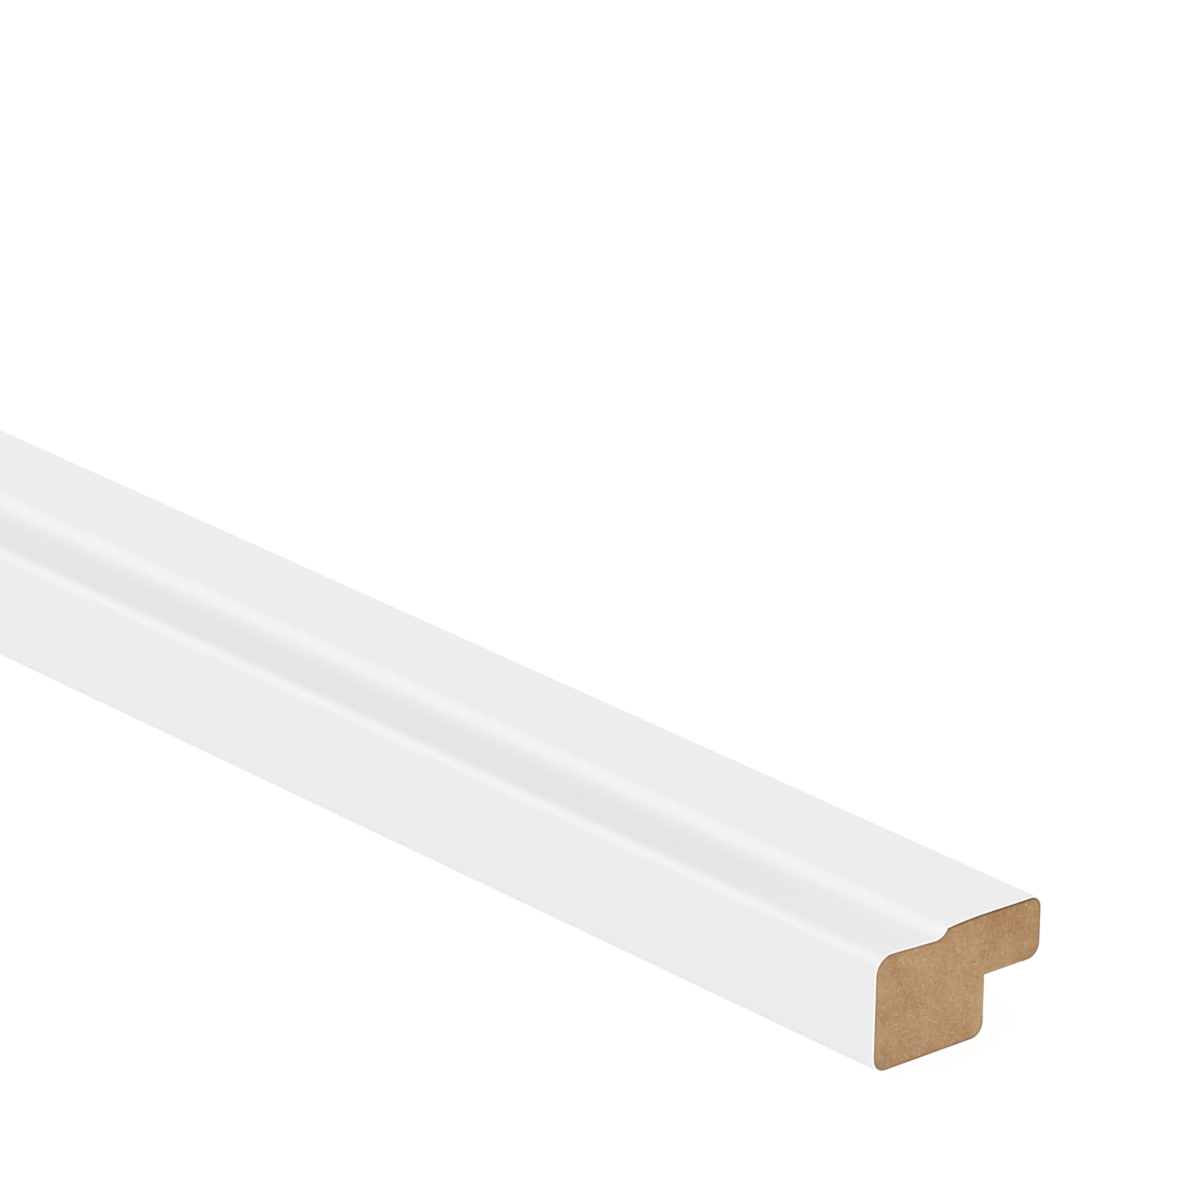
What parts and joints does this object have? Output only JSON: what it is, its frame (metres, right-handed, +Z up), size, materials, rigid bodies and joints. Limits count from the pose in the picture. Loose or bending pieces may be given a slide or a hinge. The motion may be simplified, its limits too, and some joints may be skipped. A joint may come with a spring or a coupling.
{
  "type": "crown moulding length",
  "caption": "Straight length of foil-wrapped MDF crown moulding with a stepped top, rounded front and a rebate under its rear lip.",
  "frame": {"origin": "under the middle of the part's box, on the surface that its underside rests on", "axes": "+X along the moulding's length, -Y out of its tall front face, +Y towards the lip and the rebate, +Z up"},
  "size_m": [0.3, 0.0366, 0.022],
  "materials": {
    "mdf": "matte",
    "white_foil": "satin"
  },
  "bodies": {
    "root": {"mdf_core": "mdf", "foil_wrap": "white_foil"}
  },
  "joints": []
}
